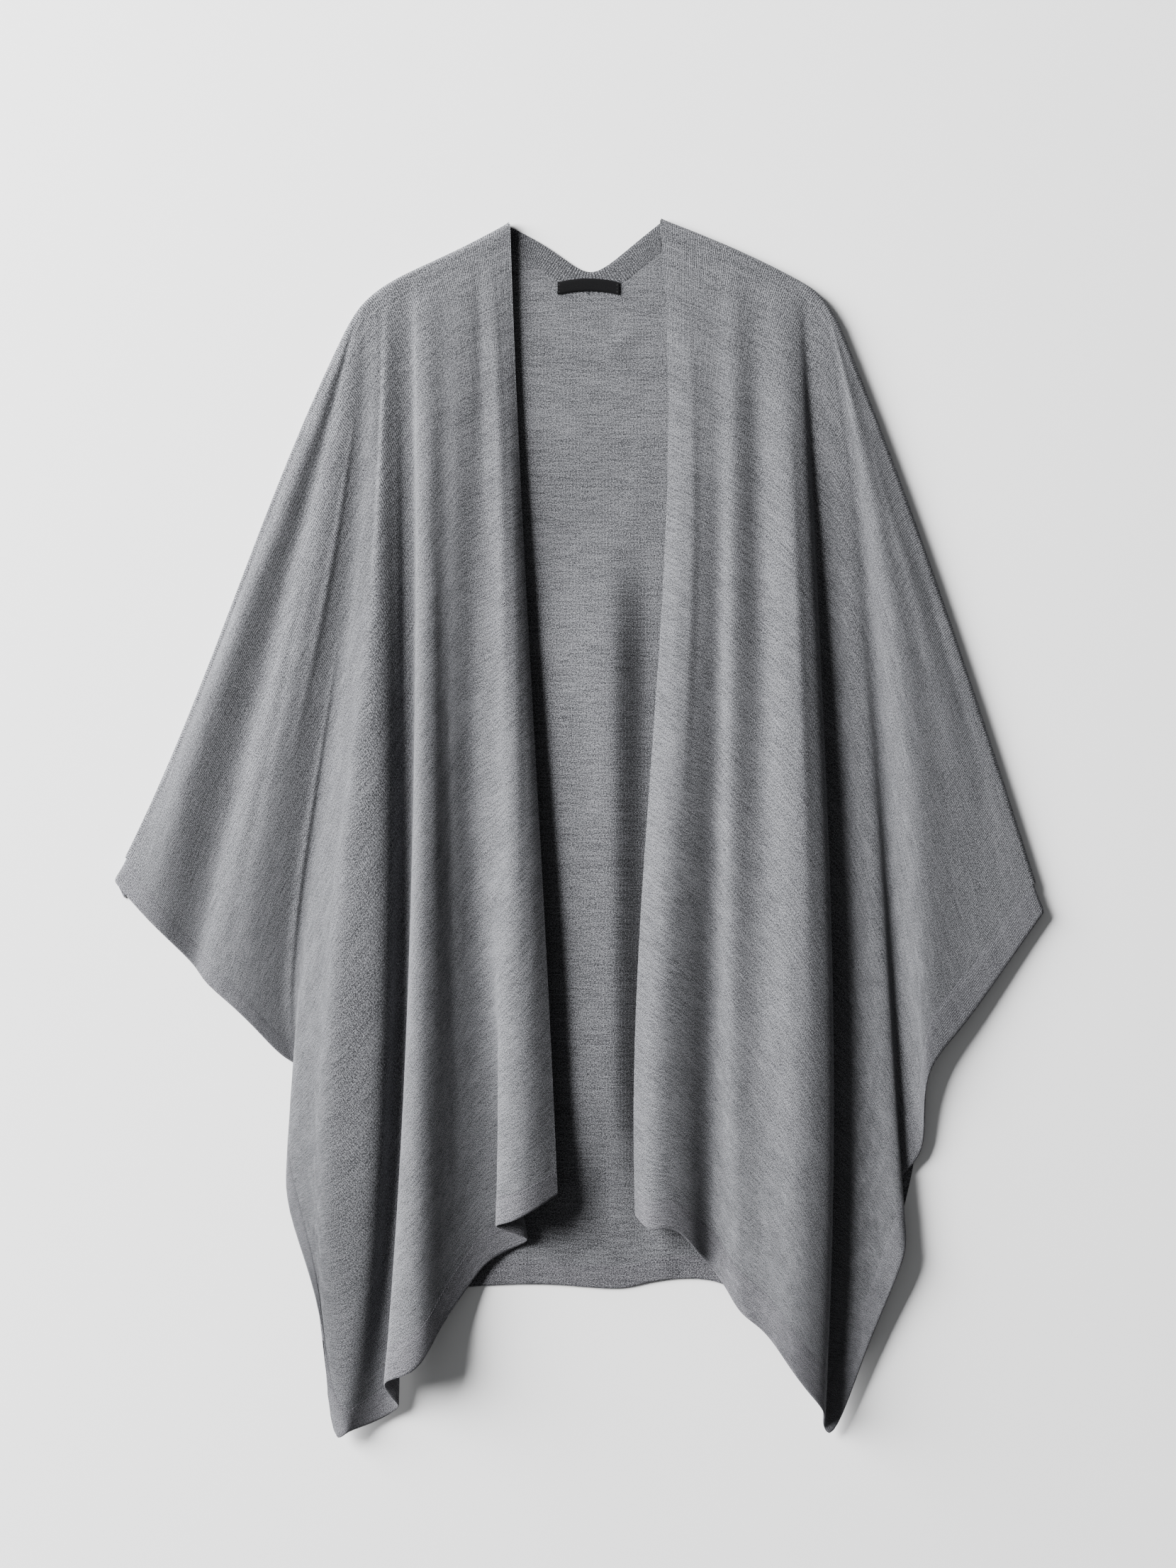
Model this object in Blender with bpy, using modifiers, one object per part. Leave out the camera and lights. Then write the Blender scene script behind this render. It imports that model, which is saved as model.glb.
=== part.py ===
"""An open-front knitted wrap, laid flat on its back with the two fronts on top.

Metres, +Z up. +Y runs from the hem to the neck and +X to the viewer's right. The cloth is one
rectangle that turns over along the shoulders and the upper arms, so the fronts and the back meet
in a rounded fold there. The origin is the middle of the garment's box, on the surface it lies on.
"""

from typing import NamedTuple

import bpy
import numpy as np
from mathutils.geometry import delaunay_2d_cdt

MM = 0.001

# Cloth
WALL = 0.0020
BAND_WALL = 0.0024
BAND_DEPTH = 0.019
SEAM_GAP = 0.0004

# Fold along the shoulders and the upper arms, where a front turns under into the back
FOLD_TOP = 0.0075
FOLD_UNDER = 0.006
FOLD_STEPS = 2

# Neck and its band, in millimetres
NECK_CURVE = ((-56.2, 498.5), (-28, 483), (-7, 468.5), (8, 461.5), (22, 466), (45, 484), (66.2, 501.5))
NECK_UNDER = BAND_DEPTH
NECK_BLEND = 0.050

# Label: a plain woven tab under the neck
LABEL_WIDTH = 0.051
LABEL_HEIGHT = 0.0105
LABEL_THICKNESS = 0.0008
LABEL_ARCH = 0.0032
LABEL_CENTRE = (0.0075, 0.4475)

# Back: hem and side edges, in millimetres from the end of the arm fold to the lower corner
BACK_HEM = ((-203, -470), (-170, -430), (-125, -390), (-80, -380), (-20, -379), (33, -382), (60, -377),
            (115, -377), (150, -405), (178, -440), (203, -478))
BACK_SIDE_LEFT = ((-358, -69), (-317, -111), (-262, -167), (-231, -205), (-233, -290), (-212, -390))
BACK_SIDE_RIGHT = ((355, -108), (318, -158), (286, -215), (280, -262), (262, -345), (240, -410))
SMOOTHING = 24

# One soft lengthwise fold in the middle of the back
BACK_FOLD_X = 0.028
BACK_FOLD_HEIGHT = 0.0090
BACK_FOLD_LEFT = 0.034
BACK_FOLD_RIGHT = 0.016
BACK_FOLD_TOP = 0.260
BACK_FOLD_LOW = -0.335
BACK_FOLD_FADE = 0.130

# Mesh density
ROWS = 14
PER_GAP = 2
HEM_LEAST_SLANT = 0.60
SIDE_LEAST_SLANT = 0.40
BAND_EVENING = 3
BACK_COLUMNS = 22
BACK_GRID_ACROSS = 0.010
BACK_GRID_DOWN = 0.040


class Fold(NamedTuple):
    """One line down a front: where it starts along the shoulder, then three points in millimetres."""

    name: str
    start: float
    upper: tuple
    lower: tuple
    hem: tuple


LEFT_SHOULDER = ((-57, 498.5), (-93, 479), (-128, 462.5), (-158, 447), (-178, 430), (-190, 411))
LEFT_FOLDS = (
    Fold("front_edge", 0.000, (-46, 233, 13), (-32, -35, 16), (-18, -302, 19)),
    Fold("front_crest", 0.090, (-58, 230, 20), (-45, -40, 27), (-42, -317, 29)),
    Fold("front_brow", 0.140, (-73, 226, 18), (-59, -45, 25), (-60, -325, 26)),
    Fold("front_lip", 0.180, (-85, 222, 14), (-69, -50, 17), (-68, -329, 18)),
    Fold("front_turn", 0.205, (-90, 220, 11), (-66, -52, 12), (-49, -337, 12.5)),
    Fold("front_tuck", 0.222, (-93, 219, 9), (-64, -53, 8.5), (-43, -341, 8.5)),
    Fold("front_under", 0.240, (-97, 216, 8), (-70, -56, 5.5), (-50, -346, 5.2)),
    Fold("hollow_near", 0.275, (-103, 213, 8), (-86, -63, 6), (-79, -361, 7)),
    Fold("hollow_far", 0.320, (-110, 203, 10), (-105, -80, 9), (-98, -382, 13)),
    Fold("middle_slope", 0.390, (-119, 185, 19), (-120, -108, 22), (-117, -414, 24)),
    Fold("middle_crest", 0.470, (-130, 168, 27), (-134, -132, 33), (-138, -447, 32)),
    Fold("middle_lip", 0.530, (-141, 152, 21), (-148, -152, 23), (-160, -458, 22)),
    Fold("middle_turn", 0.555, (-141, 146, 14), (-148, -158, 14), (-154, -472, 13)),
    Fold("middle_tuck", 0.580, (-142, 140, 9), (-148, -164, 8.5), (-150, -479, 8.5)),
    Fold("middle_under", 0.605, (-147, 135, 7.5), (-153, -169, 6), (-156, -485, 5.5)),
    Fold("crease_floor", 0.630, (-154, 130, 8), (-161, -175, 6.5), (-172, -493, 6)),
    Fold("outer_brow", 0.665, (-161, 127, 18), (-169, -184, 21), (-187, -498, 12)),
    Fold("outer_crest", 0.705, (-173, 122, 23), (-184, -192, 27), (-193, -501, 13)),
    Fold("corner", 0.740, (-182, 121, 22), (-203, -200, 26), (-200, -504, 10)),
    Fold("outer_side", 0.768, (-185.5, 135, 19), (-214.5, -150, 24), (-214, -405, 18)),
    Fold("outer_lip", 0.790, (-194, 155, 14), (-224.5, -100, 17), (-241, -306, 13.8)),
    Fold("outer_turn", 0.812, (-199, 165, 11), (-225, -75, 11.8), (-235, -257, 10.2)),
    Fold("outer_tuck", 0.832, (-203.5, 172, 9.2), (-224.5, -55, 8.2), (-226, -212, 8.3)),
    Fold("outer_under", 0.848, (-208, 180, 8.3), (-229.5, -45, 6.3), (-231, -199, 5.4)),
    Fold("arm_hollow", 0.865, (-213, 188, 8), (-239.5, -35, 7), (-243, -189, 6.5)),
    Fold("arm_slope", 0.885, (-216, 198, 10), (-250, -15, 12), (-262, -170, 11)),
    Fold("arm_crest", 0.910, (-220, 210, 12.5), (-259, 10, 17), (-288, -146, 17)),
    Fold("arm_lip", 0.935, (-226, 222, 11), (-272, 28, 13), (-313, -121, 13)),
    Fold("arm_tuck", 0.955, (-233, 232, 8), (-286, 45, 7), (-311, -114, 7)),
    Fold("sleeve_crest", 0.978, (-246, 246, 10), (-304, 76, 13), (-341, -84, 13)),
    Fold("arm_fold", 1.000, (-256, 258, 7.5), (-315, 105, 7.5), (-383.5, -46, 7)),
)
RIGHT_SHOULDER = ((67, 501.5), (102, 487.5), (140, 471), (176, 453), (198, 438), (212, 417))
RIGHT_FOLDS = (
    Fold("front_edge", 0.000, (71, 228, 9), (53, -45, 10), (47, -321, 12)),
    Fold("front_crest", 0.095, (88, 225, 17), (74, -48, 24), (60, -331, 25)),
    Fold("front_brow", 0.160, (100, 222, 15), (87, -52, 21), (73, -331, 21)),
    Fold("front_slope", 0.215, (107, 220, 12), (96, -56, 13), (91, -348, 12)),
    Fold("front_hollow", 0.270, (113, 217, 11), (104, -61, 8), (106, -361, 7)),
    Fold("middle_rise", 0.330, (119, 213, 13), (113, -68, 14), (122, -380, 12)),
    Fold("middle_crest", 0.400, (127, 209, 16), (127, -78, 20), (133, -400, 18)),
    Fold("shallow", 0.490, (146, 200, 15), (148, -91, 21), (152, -415, 24)),
    Fold("great_crest", 0.620, (171, 188, 24), (179, -112, 32), (170, -443, 30)),
    Fold("great_brow", 0.690, (184, 178, 23), (198, -130, 31), (190, -467, 27)),
    Fold("great_lip", 0.730, (192, 168, 16), (208, -147, 20), (202, -483, 19)),
    Fold("great_tuck", 0.760, (191, 160, 8), (205, -155, 8), (203, -496, 9)),
    Fold("corner", 0.785, (200, 158, 8), (217, -160, 7), (208, -501, 7)),
    Fold("rib_rise", 0.808, (206, 164, 9), (226, -140, 10), (233, -446, 9)),
    Fold("rib_slope", 0.830, (211, 178, 12), (232, -112, 15), (256, -388, 12)),
    Fold("rib_crest", 0.850, (216, 188, 14), (237, -92, 17), (267, -359, 14)),
    Fold("rib_lip", 0.866, (220, 192, 12), (242, -80, 13.5), (270, -340, 11.5)),
    Fold("rib_tuck", 0.888, (224, 198, 8.5), (243, -56, 8.5), (264, -302, 8)),
    Fold("rib_under", 0.898, (227, 202, 8), (247, -45, 7), (268, -288, 5.5)),
    Fold("arm_hollow", 0.908, (231, 206, 8), (254, -32, 7), (281, -272, 6.5)),
    Fold("arm_rise", 0.922, (237, 218, 10), (262, -10, 11), (286, -247, 9)),
    Fold("arm_crest", 0.940, (246, 230, 13), (275, 20, 16), (290, -203, 14)),
    Fold("sleeve_near", 0.960, (256, 240, 11), (296, 50, 12), (315, -167, 11)),
    Fold("sleeve_far", 0.980, (267, 249, 9), (318, 76, 9), (354, -114, 8)),
    Fold("arm_fold", 1.000, (275, 253, 7.5), (331, 90, 7.5), (383.5, -72, 7)),
)


def plain_material(name, colour, roughness):
    material = bpy.data.materials.new(name)
    material.use_nodes = True
    shader = material.node_tree.nodes["Principled BSDF"]
    shader.inputs["Base Color"].default_value = (*colour, 1.0)
    shader.inputs["Roughness"].default_value = roughness
    shader.inputs["Metallic"].default_value = 0.0
    return material


def strip_through(points, per_gap):
    """Bends one smooth strip through the points: a natural cubic spline, its knots spaced by the
    square root of the distance between points, sampled per_gap times in each gap."""
    points = np.asarray(points, float)
    step = np.sqrt(np.linalg.norm(np.diff(points, axis=0), axis=1))
    count = len(points)
    balance = np.eye(count)
    pull = np.zeros_like(points)
    for i in range(1, count - 1):
        balance[i, i - 1 : i + 2] = step[i - 1] / 6, (step[i - 1] + step[i]) / 3, step[i] / 6
        pull[i] = (points[i + 1] - points[i]) / step[i] - (points[i] - points[i - 1]) / step[i - 1]
    bend = np.linalg.solve(balance, pull)
    gap = np.repeat(np.arange(count - 1), per_gap)
    far = np.tile(np.arange(per_gap) / per_gap, count - 1)[:, None]
    near = 1 - far
    width = step[gap][:, None]
    strip = near * points[gap] + far * points[gap + 1]
    strip += ((near**3 - near) * bend[gap] + (far**3 - far) * bend[gap + 1]) * width**2 / 6
    return np.vstack((strip, points[-1]))


def along(line, shares):
    """Points of a polyline at shares of its length."""
    length = np.concatenate(([0], np.cumsum(np.linalg.norm(np.diff(line, axis=0), axis=1))))
    return np.column_stack([np.interp(np.asarray(shares) * length[-1], length, c) for c in line.T])


def fold_stations(shoulder, folds):
    """The four points of each fold, in metres: on the shoulder line, upper, lower and hem."""
    line = strip_through(shoulder, SMOOTHING) * MM
    starts = along(line, [fold.start for fold in folds])
    top = np.column_stack((starts, np.full(len(folds), FOLD_TOP)))
    rest = np.array([(fold.upper, fold.lower, fold.hem) for fold in folds], float) * MM
    return np.concatenate((top[:, None], rest), axis=1)


def down_fold(stations, share):
    """The cubic through four evenly spaced stations, at a share from the shoulder, 0, to the hem, 1."""
    v = np.asarray(share, float)[..., None]
    third, two_thirds = v - 1 / 3, v - 2 / 3
    return (
        -4.5 * third * two_thirds * (v - 1) * stations[:, 0]
        + 13.5 * v * two_thirds * (v - 1) * stations[:, 1]
        - 13.5 * v * third * (v - 1) * stations[:, 2]
        + 4.5 * v * third * two_thirds * stations[:, 3]
    )


class Sheet(NamedTuple):
    """A grid of cloth: its points, and at each of them the way square to the cloth."""

    points: np.ndarray
    square: np.ndarray


def unit(vectors):
    return vectors / np.linalg.norm(vectors, axis=-1, keepdims=True)


def front_sheet(stations, shares):
    """Rows of cloth across all the folds. Each row of shares holds one place on every fold. Both
    sides of a seam get the same square direction, because it is read from the whole front."""
    rows, ways = [], []
    for row in shares:
        line = strip_through(down_fold(stations, row), PER_GAP)
        ahead = strip_through(down_fold(stations, row + 0.002), PER_GAP)
        behind = strip_through(down_fold(stations, row - 0.002), PER_GAP)
        rows.append(line)
        ways.append(unit(np.cross(np.gradient(line, axis=0), ahead - behind)))
    return Sheet(np.array(rows), np.array(ways))


def fold_lengths(stations):
    walk = np.array([down_fold(stations, np.full(len(stations), v)) for v in np.linspace(0, 1, 30)])
    return np.linalg.norm(np.diff(walk, axis=0), axis=2).sum(axis=0)


def slant_of(line, away, least):
    """Sine of the angle between a line of points and the directions away from it."""
    run = unit(np.gradient(line, axis=0))
    return np.clip(np.linalg.norm(np.cross(run, unit(away)), axis=1), least, 1)


def outward(edge, side):
    """Level directions out of the cloth along the turned edge. At the neck they run straight up the
    garment, and over NECK_BLEND they turn square to the edge. side is -1 on the left, 1 on the right."""
    run = np.gradient(edge[:, :2], axis=0)
    square = np.column_stack((-run[:, 1], run[:, 0])) * side
    square /= np.linalg.norm(square, axis=1)[:, None]
    length = np.concatenate(([0], np.cumsum(np.linalg.norm(np.diff(edge[:, :2], axis=0), axis=1))))
    share = np.clip(length / NECK_BLEND, 0, 1)[:, None]
    share = share * share * (3 - 2 * share)
    out = share * square + (1 - share) * np.array((0.0, 1.0))
    under = FOLD_UNDER + (NECK_UNDER - FOLD_UNDER) * (1 - share[:, 0])
    return out / np.linalg.norm(out, axis=1)[:, None], under


def turned_edge(edge, out, under, wall, side):
    """Rings that carry the edge round a half circle and on beneath, flat on the surface."""
    radius = (edge[:, 2] - wall / 2) / 2
    level = np.column_stack((out, np.zeros(len(out))))
    up = np.array((0.0, 0.0, 1.0))
    rings = []
    for angle in np.linspace(0, np.pi, FOLD_STEPS + 1)[1:]:
        ring = edge + level * (radius * np.sin(angle))[:, None] - up * (radius * (1 - np.cos(angle)))[:, None]
        rings.append((ring, -side * (level * np.sin(angle) + up * np.cos(angle))))
    inner = rings[-1][0] - level * under[:, None]
    rings.append((inner, rings[-1][1]))
    return rings


def two_triangles(points, a, b, c, d):
    """A four-sided cell cut along its shorter diagonal, so both faces of the wall are cut alike."""
    if np.linalg.norm(points[a] - points[c]) <= np.linalg.norm(points[b] - points[d]):
        return [(a, b, c), (a, c, d)]
    return [(b, c, d), (b, d, a)]


def grid_faces(points, rows, columns):
    """Triangles between neighbouring rows and columns of a grid of points."""
    faces = []
    for row in range(rows - 1):
        for column in range(columns - 1):
            a = row * columns + column
            faces += two_triangles(points, a, a + 1, a + columns + 1, a + columns)
    return faces


def cloth_solid(name, points, faces, material, wall):
    """A wall of cloth: an open surface thickened equally to both sides."""
    mesh = bpy.data.meshes.new(name)
    mesh.from_pydata(np.asarray(points, float).tolist(), [], faces)
    mesh.shade_smooth()
    mesh.materials.append(material)
    piece = bpy.data.objects.new(name, mesh)
    garment.objects.link(piece)
    thicken = piece.modifiers.new("wall", "SOLIDIFY")
    thicken.thickness = wall
    thicken.offset = 0
    return piece


def close_wall(name, points, square, faces, material, wall):
    """A wall of cloth between two faces, half the wall to each side of the points along square. The
    rim joins them wherever an edge has a triangle on one side only, and is cut alike for any wall."""
    count = len(points)
    even = np.vstack((points + square * WALL / 2, points - square * WALL / 2))
    corners = np.vstack((points + square * wall / 2, points - square * wall / 2))
    cells = [tuple(int(k) for k in face) for face in faces]
    walked = {(face[k], face[(k + 1) % 3]) for face in cells for k in range(3)}
    cells += [(c + count, b + count, a + count) for a, b, c in cells]
    for a, b in sorted(walked):
        if (b, a) not in walked:
            cells += two_triangles(even, b, a, a + count, b + count)
    mesh = bpy.data.meshes.new(name)
    mesh.from_pydata(corners.tolist(), [], cells)
    mesh.shade_smooth()
    mesh.materials.append(material)
    garment.objects.link(bpy.data.objects.new(name, mesh))


def front_solid(name, sheet, material, wall, side, edge_index=None, out=None, under=None):
    """One front, or its band. edge_index lists the grid's points along the edge that turns under,
    out the way out of the cloth there and under how far it runs beneath."""
    rows, columns = sheet.points.shape[:2]
    points = sheet.points.reshape(-1, 3)
    square = sheet.square.reshape(-1, 3)
    faces = grid_faces(points, rows, columns)
    if edge_index is not None:
        before = edge_index
        for ring, way in turned_edge(points[edge_index], out, under, wall, side):
            after = np.arange(len(points), len(points) + len(ring))
            points = np.vstack((points, ring))
            square = np.vstack((square, way))
            for k in range(len(ring) - 1):
                faces += two_triangles(points, before[k + 1], before[k], after[k], after[k + 1])
            before = after
    close_wall(name, points, square, faces, material, wall)


def moved_aside(line, square, distance):
    """A line of points moved in the cloth, straight away from itself: a row towards the hem, a
    column towards the front edge."""
    return line + unit(np.cross(square, np.gradient(line, axis=0))) * distance


def band_reach(ends, fall, least_slant):
    """How far a band reaches up each fold: BAND_DEPTH square to its edge, so further where a fold
    meets the edge at a slant, evened out along the edge."""
    slant = np.linalg.norm(np.cross(unit(np.gradient(ends, axis=0)), unit(fall)), axis=1)
    reach = BAND_DEPTH / np.clip(slant, least_slant, 1)
    for _ in range(BAND_EVENING):
        spread = np.pad(reach, 1, mode="edge")
        reach = (spread[:-2] + spread[1:-1] + spread[2:]) / 3
    return reach


def front_sheets(stations, corner):
    """The front's panel and band, half the seam's gap to each side of the seam between them. The
    folds from corner on end on the side edge, nearly along it, so the band reaches further there."""
    ends = stations[:, 3]
    fall = ends - down_fold(stations, np.full(len(stations), 0.95))
    hem_reach = band_reach(ends[:corner], fall[:corner], HEM_LEAST_SLANT)
    side_reach = band_reach(ends[corner:], fall[corner:], SIDE_LEAST_SLANT)
    seam = 1 - np.concatenate((hem_reach, side_reach)) / fold_lengths(stations)
    panel = front_sheet(stations, [seam * row / ROWS for row in range(ROWS + 1)])
    band = front_sheet(stations, [seam, 1 + 0 * seam])
    seam_line = band.points[0].copy()
    panel.points[-1] = moved_aside(seam_line, band.square[0], -SEAM_GAP / 2)
    band.points[0] = moved_aside(seam_line, band.square[0], SEAM_GAP / 2)
    return panel, band


def split_band(band, column):
    """The hem band and the side band, half a gap to each side of the corner's column."""
    parts = []
    for columns, end, distance in ((slice(0, column + 1), -1, SEAM_GAP / 2), (slice(column, None), 0, -SEAM_GAP / 2)):
        part = Sheet(band.points[:, columns].copy(), band.square[:, columns])
        part.points[:, end] = moved_aside(part.points[:, end], part.square[:, end], distance)
        parts.append(part)
    return parts


def build_front(hand, side, shoulder, folds):
    """The panel, hem band and side band of one front. Returns the line where the back's edge meets
    the cloth that turns under, from the neck to the end of the arm."""
    corner = [fold.name for fold in folds].index("corner")
    panel, band = front_sheets(fold_stations(shoulder, folds), corner)
    rows, columns = panel.points.shape[:2]
    edge_index = np.concatenate((np.arange(columns), np.arange(1, rows) * columns + columns - 1))
    edge = panel.points.reshape(-1, 3)[edge_index]
    out, under = outward(edge, side)
    front_solid(f"{hand}_front_panel", panel, knit, WALL, side, edge_index, out, under)

    hem, edging = split_band(band, corner * PER_GAP)
    front_solid(f"{hand}_front_hem", hem, band_knit, BAND_WALL, side)
    rows, columns = edging.points.shape[:2]
    tip_index = np.arange(rows) * columns + columns - 1
    tip_out = np.tile(out[-1], (rows, 1))
    tip_under = np.full(rows, FOLD_UNDER)
    front_solid(f"{hand}_side_band", edging, band_knit, BAND_WALL, side, tip_index, tip_out, tip_under)

    edge = np.vstack((edge, edging.points[-1, -1:]))
    out = np.vstack((out, tip_out[-1:]))
    under = np.append(under, FOLD_UNDER) + SEAM_GAP
    return edge[:, :2] - out * under[:, None]


def back_height(x, y):
    """Lift of the back's wall: one soft lengthwise fold, steeper to the right, that fades out at
    the neck and above the hem."""
    reach = np.where(x < BACK_FOLD_X, BACK_FOLD_LEFT, BACK_FOLD_RIGHT)
    across = np.clip(1 - np.abs(x - BACK_FOLD_X) / (2 * reach), 0, 1)
    across = across * across * (3 - 2 * across)
    fade = np.clip(np.minimum(BACK_FOLD_TOP - y, y - BACK_FOLD_LOW) / BACK_FOLD_FADE, 0, 1)
    return BACK_FOLD_HEIGHT * across * fade * fade * (3 - 2 * fade)


def on_surface(lines, wall):
    """Flat points laid on the surface, lifted by the back's fold."""
    flat = np.array(lines)
    height = wall / 2 + back_height(flat[..., 0], flat[..., 1])
    return np.concatenate((flat, height[..., None]), axis=-1)


def neck_lines():
    """The neck's edge and, a band's depth below it, the seam. The depth is square to the edge in the
    middle and straight down at the ends, which lie under the fronts."""
    shares = np.linspace(0, 1, BACK_COLUMNS + 1)
    edge = along(strip_through(NECK_CURVE, SMOOTHING) * MM, shares)
    run = np.gradient(edge, axis=0)
    square = np.column_stack((run[:, 1], -run[:, 0])) / np.linalg.norm(run, axis=1)[:, None]
    share = np.clip(np.minimum(shares, 1 - shares) / 0.25, 0, 1)[:, None]
    down = share * square + (1 - share) * np.array((0.0, -1.0))
    down /= np.linalg.norm(down, axis=1)[:, None]
    depth = BAND_DEPTH / np.sum(down * square, axis=1)
    return edge, down, depth


def strip_solid(name, lines, material):
    points = on_surface(lines, BAND_WALL).reshape(-1, 3)
    cloth_solid(name, points, grid_faces(points, 2, BACK_COLUMNS + 1), material, BAND_WALL)


def build_back(left_meeting, right_meeting):
    """The back panel, its hem band, and the neck band. The panel is its outline filled with
    triangles, with a grid of points where the soft fold lifts it."""
    edge, down, depth = neck_lines()
    strip_solid("neck_band", (edge, edge + down * depth[:, None]), rib_knit)
    hem_edge = along(strip_through(BACK_HEM, SMOOTHING) * MM, np.linspace(0, 1, BACK_COLUMNS + 1))
    hem_top = hem_edge + np.array((0.0, BAND_DEPTH))
    strip_solid("back_hem", (hem_edge, hem_top), band_knit)

    neck_seam = edge + down * (depth + SEAM_GAP)[:, None]
    hem_seam = hem_top + np.array((0.0, SEAM_GAP))
    left = np.vstack((left_meeting[1:], np.array(BACK_SIDE_LEFT) * MM, hem_seam))
    right = np.vstack((right_meeting[1:], np.array(BACK_SIDE_RIGHT) * MM))
    outline = np.vstack((left, right[::-1], neck_seam[::-1]))
    across = np.arange(BACK_FOLD_X - 2 * BACK_FOLD_LEFT, BACK_FOLD_X + 2 * BACK_FOLD_RIGHT + 0.001, BACK_GRID_ACROSS)
    down = np.arange(BACK_FOLD_LOW, BACK_FOLD_TOP + 0.001, BACK_GRID_DOWN)
    inner = np.array([(x, y) for y in down for x in across])
    flat = np.vstack((outline, inner))
    edges = [(k, (k + 1) % len(outline)) for k in range(len(outline))]
    filled = delaunay_2d_cdt([tuple(point) for point in flat], edges, [], 1, 1e-7)
    points = on_surface([tuple(point) for point in filled[0]], WALL)
    cloth_solid("back_panel", points, filled[2], knit, WALL)


def build_label():
    """A narrow woven tab, bent to a shallow arch, sewn over the neck band's seam."""
    across = np.linspace(-0.5, 0.5, 9)
    arch = LABEL_CENTRE[1] + LABEL_ARCH * (1 - (2 * across) ** 2)
    lines = []
    for half in (-0.5, 0.5):
        lines.append(np.column_stack((LABEL_CENTRE[0] + across * LABEL_WIDTH, arch + half * LABEL_HEIGHT)))
    flat = np.array(lines)
    height = np.full(flat.shape[:2] + (1,), BAND_WALL + SEAM_GAP + LABEL_THICKNESS / 2)
    points = np.concatenate((flat, height), axis=2).reshape(-1, 3)
    cloth_solid("neck_label", points, grid_faces(points, 2, len(across)), satin, LABEL_THICKNESS)


for leftover in list(bpy.data.objects):
    bpy.data.objects.remove(leftover, do_unlink=True)
garment = bpy.data.collections.new("open_front_wrap")
bpy.context.scene.collection.children.link(garment)
knit = plain_material("heather_knit", (0.235, 0.24, 0.25), 0.9)
band_knit = plain_material("edge_knit", (0.215, 0.22, 0.23), 0.9)
rib_knit = plain_material("neck_rib", (0.225, 0.23, 0.24), 0.9)
satin = plain_material("label_satin", (0.012, 0.012, 0.013), 0.45)

left_line = build_front("left", -1, LEFT_SHOULDER, LEFT_FOLDS)
right_line = build_front("right", 1, RIGHT_SHOULDER, RIGHT_FOLDS)
build_back(left_line, right_line)
build_label()
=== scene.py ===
from typing import NamedTuple

import bpy
import numpy as np
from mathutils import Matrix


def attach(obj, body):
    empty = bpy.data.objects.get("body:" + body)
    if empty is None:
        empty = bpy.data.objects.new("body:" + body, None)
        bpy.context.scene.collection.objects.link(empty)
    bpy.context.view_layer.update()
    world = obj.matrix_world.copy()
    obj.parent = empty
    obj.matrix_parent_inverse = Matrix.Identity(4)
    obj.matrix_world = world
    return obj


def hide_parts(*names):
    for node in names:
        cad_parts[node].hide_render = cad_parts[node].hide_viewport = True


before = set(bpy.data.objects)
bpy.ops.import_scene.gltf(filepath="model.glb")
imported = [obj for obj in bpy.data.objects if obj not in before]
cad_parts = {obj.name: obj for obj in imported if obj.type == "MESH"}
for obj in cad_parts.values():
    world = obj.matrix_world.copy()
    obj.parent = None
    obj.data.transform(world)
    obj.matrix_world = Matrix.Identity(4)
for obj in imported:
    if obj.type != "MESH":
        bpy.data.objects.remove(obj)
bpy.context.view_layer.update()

# The back: half of the knitted rectangle, lying on the surface with its wrong side down. Fine wool
# jersey in heathered grey, a little over a millimetre thick, with one soft fold down the middle.
CLOTH = 0.0013
SEAM_GAP = 0.00006
HEM_DEPTH = 0.019
NECK_CURVE = ((-58.0, 499.3), (-28, 483), (-7, 468.5), (8, 461.5), (22, 466), (45, 484), (68.0, 502.6))
BACK_HEM = ((-203, -470), (-170, -430), (-125, -390), (-80, -380), (-20, -379), (33, -382), (60, -377),
            (115, -377), (150, -405), (178, -440), (203, -478))
BACK_LEFT = ((-58, 480), (-80, 470), (-125, 449), (-155, 434), (-176, 418), (-185, 402), (-212, 335),
             (-250, 252), (-292, 155), (-335, 55), (-372, -38), (-352, -72), (-317, -111), (-262, -167),
             (-231, -205), (-233, -290), (-212, -390), (-203, -451))
BACK_RIGHT = ((68, 483), (92, 477), (135, 458), (170, 441), (192, 425), (204, 405), (232, 335), (266, 250),
              (300, 160), (334, 55), (372, -68), (350, -112), (318, -158), (286, -215), (280, -262),
              (262, -345), (240, -410), (203, -459))
BACK_FOLD = {
    "x": 0.026,
    "height": 0.0105,
    "left": 0.038,
    "right": 0.0155,
    "top": 0.260,
    "low": -0.335,
    "fade": 0.130,
}
BACK_LOFT = 0.0003


class Crease(NamedTuple):
    """A soft ridge, or a trough where lift is below zero. Positions, width and lift in millimetres."""

    start: tuple
    end: tuple
    width: float
    lift: float


BACK_CREASES = (
    Crease((-34, 430), (26, 412), 7, 0.9),
    Crease((-30, 396), (34, 372), 9, -0.8),
    Crease((52, 420), (20, 386), 8, 0.8),
    Crease((-36, 352), (10, 340), 11, 0.7),
    Crease((40, 340), (18, 250), 12, -0.9),
    Crease((-22, 200), (-6, -60), 14, 0.8),
    Crease((8, 120), (14, -180), 13, -0.7),
    Crease((-14, -140), (-4, -330), 15, 0.9),
    Crease((20, -250), (16, -352), 9, -0.8),
    Crease((44, -200), (38, -340), 10, 0.8),
    Crease((-60, -300), (-48, -372), 12, 1.0),
    Crease((64, -330), (74, -374), 10, 1.0),
)


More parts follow.
